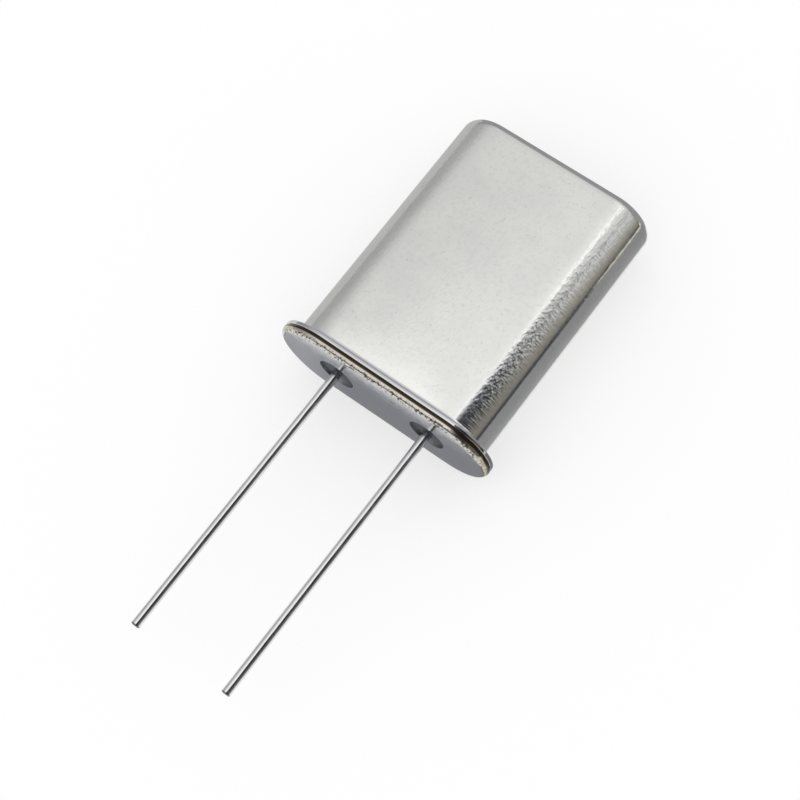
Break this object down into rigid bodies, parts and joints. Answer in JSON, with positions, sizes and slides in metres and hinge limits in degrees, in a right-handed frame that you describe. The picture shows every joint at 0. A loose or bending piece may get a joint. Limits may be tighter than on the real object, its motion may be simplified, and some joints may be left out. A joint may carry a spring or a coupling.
{
  "type": "quartz crystal unit",
  "caption": "Sealed metal-can quartz crystal unit with an obround drawn can, welded flange and two straight wire leads through glass seals, for timing on a circuit board.",
  "frame": {"origin": "middle of the base's underside, the seating plane, halfway between the two leads", "axes": "+Y from the leads to the can's closed end, +Z out of the front broad face, which is up as the unit lies on its back, +X across from the left lead to the right lead"},
  "size_m": [0.0112, 0.0273, 0.0046],
  "materials": {
    "can_metal": "satin nickel plate with fine pits and rubbed edges",
    "base_metal": "semi-bright nickel plate, stained along the weld seam",
    "seal_glass": "dark opaque sealing glass, glossy",
    "lead_wire": "bright plated wire",
    "clip_strip": "plain rolled nickel strip",
    "quartz": "lapped clear quartz",
    "plating": "evaporated silver",
    "cement": "silver-filled cement"
  },
  "bodies": {
    "root": {"can": "can_metal", "base_plate": "base_metal", "left_glass_seal": "seal_glass", "right_glass_seal": "seal_glass", "left_lead": "lead_wire", "right_lead": "lead_wire", "left_spring_clip": "clip_strip", "right_spring_clip": "clip_strip", "quartz_blank": "quartz", "front_electrode": "plating", "rear_electrode": "plating", "left_adhesive": "cement", "right_adhesive": "cement"}
  },
  "joints": []
}
